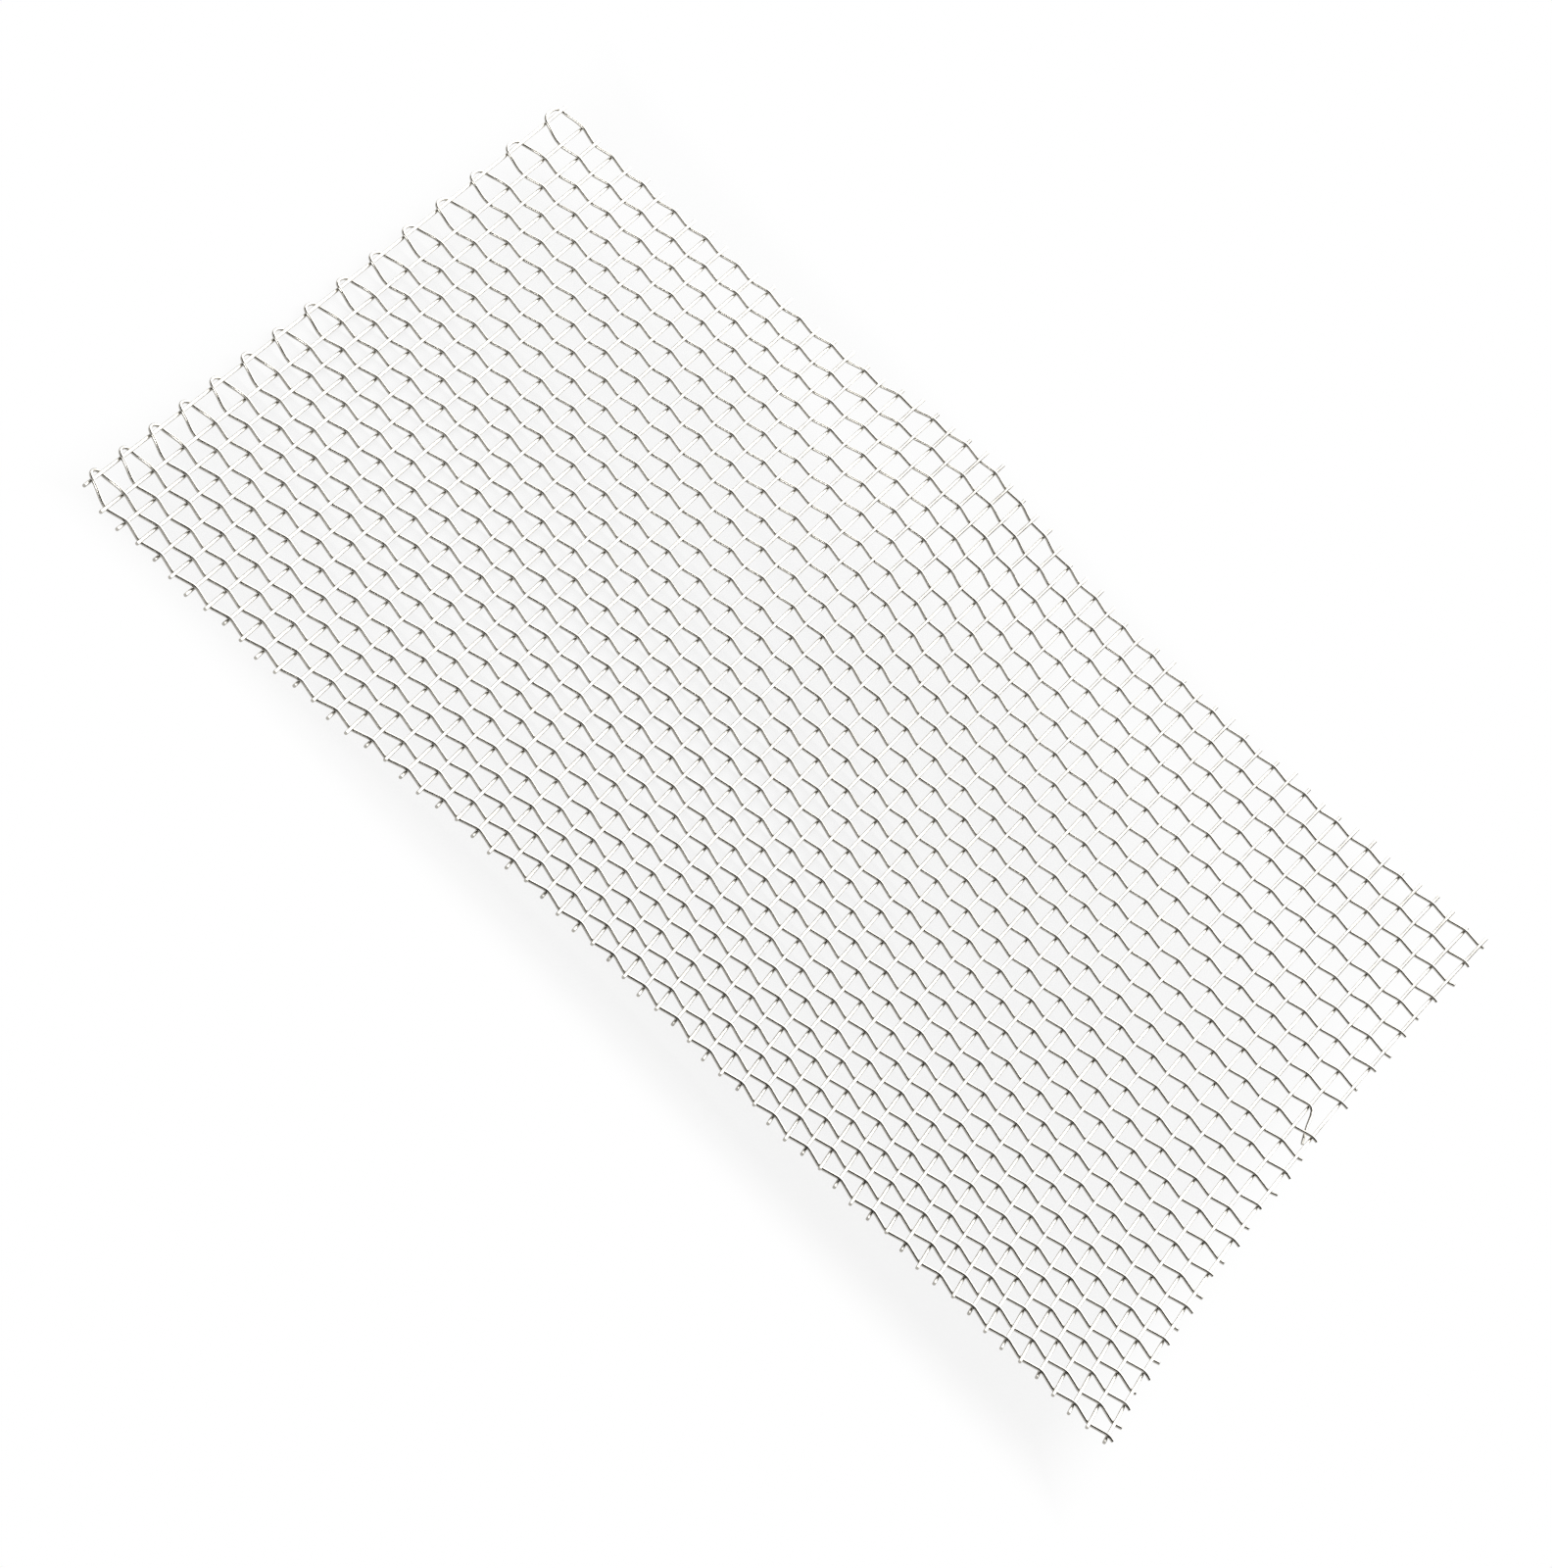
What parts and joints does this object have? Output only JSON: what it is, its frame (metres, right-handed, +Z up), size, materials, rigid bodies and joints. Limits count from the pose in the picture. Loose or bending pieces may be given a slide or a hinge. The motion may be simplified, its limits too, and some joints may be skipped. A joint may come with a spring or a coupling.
{
  "type": "wire gauze",
  "caption": "Curled rectangular piece of plain-woven galvanised wire gauze with looped wire ends on one short side and cut wire ends on the others.",
  "frame": {"origin": "middle of the outline seen from above, on the surface that the piece lies on", "axes": "+X along the long wires towards the cut end, +Y along the cross wires towards the more curled edge, +Z up"},
  "size_m": [0.2756, 0.2002, 0.04],
  "materials": {
    "galvanised_wire": "satin"
  },
  "bodies": {
    "root": {"looped_pair_1": "galvanised_wire", "looped_pair_2": "galvanised_wire", "looped_pair_3": "galvanised_wire", "looped_pair_4": "galvanised_wire", "looped_pair_5": "galvanised_wire", "looped_pair_6": "galvanised_wire", "looped_pair_7": "galvanised_wire", "looped_pair_8": "galvanised_wire", "looped_pair_9": "galvanised_wire", "looped_pair_10": "galvanised_wire", "looped_pair_11": "galvanised_wire", "looped_pair_12": "galvanised_wire", "looped_pair_13": "galvanised_wire", "looped_pair_14": "galvanised_wire", "looped_pair_15": "galvanised_wire", "cross_pair_1": "galvanised_wire", "cross_pair_2": "galvanised_wire", "cross_pair_3": "galvanised_wire", "cross_pair_4": "galvanised_wire", "cross_pair_5": "galvanised_wire", "cross_pair_6": "galvanised_wire", "cross_pair_7": "galvanised_wire", "cross_pair_8": "galvanised_wire", "cross_pair_9": "galvanised_wire", "cross_pair_10": "galvanised_wire", "cross_pair_11": "galvanised_wire", "cross_pair_12": "galvanised_wire", "cross_pair_13": "galvanised_wire", "cross_pair_14": "galvanised_wire", "cross_pair_15": "galvanised_wire", "cross_pair_16": "galvanised_wire", "cross_pair_17": "galvanised_wire", "cross_pair_18": "galvanised_wire", "cross_pair_19": "galvanised_wire", "cross_pair_20": "galvanised_wire", "cross_pair_21": "galvanised_wire", "cross_pair_22": "galvanised_wire", "cross_pair_23": "galvanised_wire", "cross_pair_24": "galvanised_wire", "cross_pair_25": "galvanised_wire", "cross_pair_26": "galvanised_wire", "cross_pair_27": "galvanised_wire", "cross_pair_28": "galvanised_wire", "cross_pair_29": "galvanised_wire", "cross_pair_30": "galvanised_wire", "cross_pair_31": "galvanised_wire"}
  },
  "joints": []
}
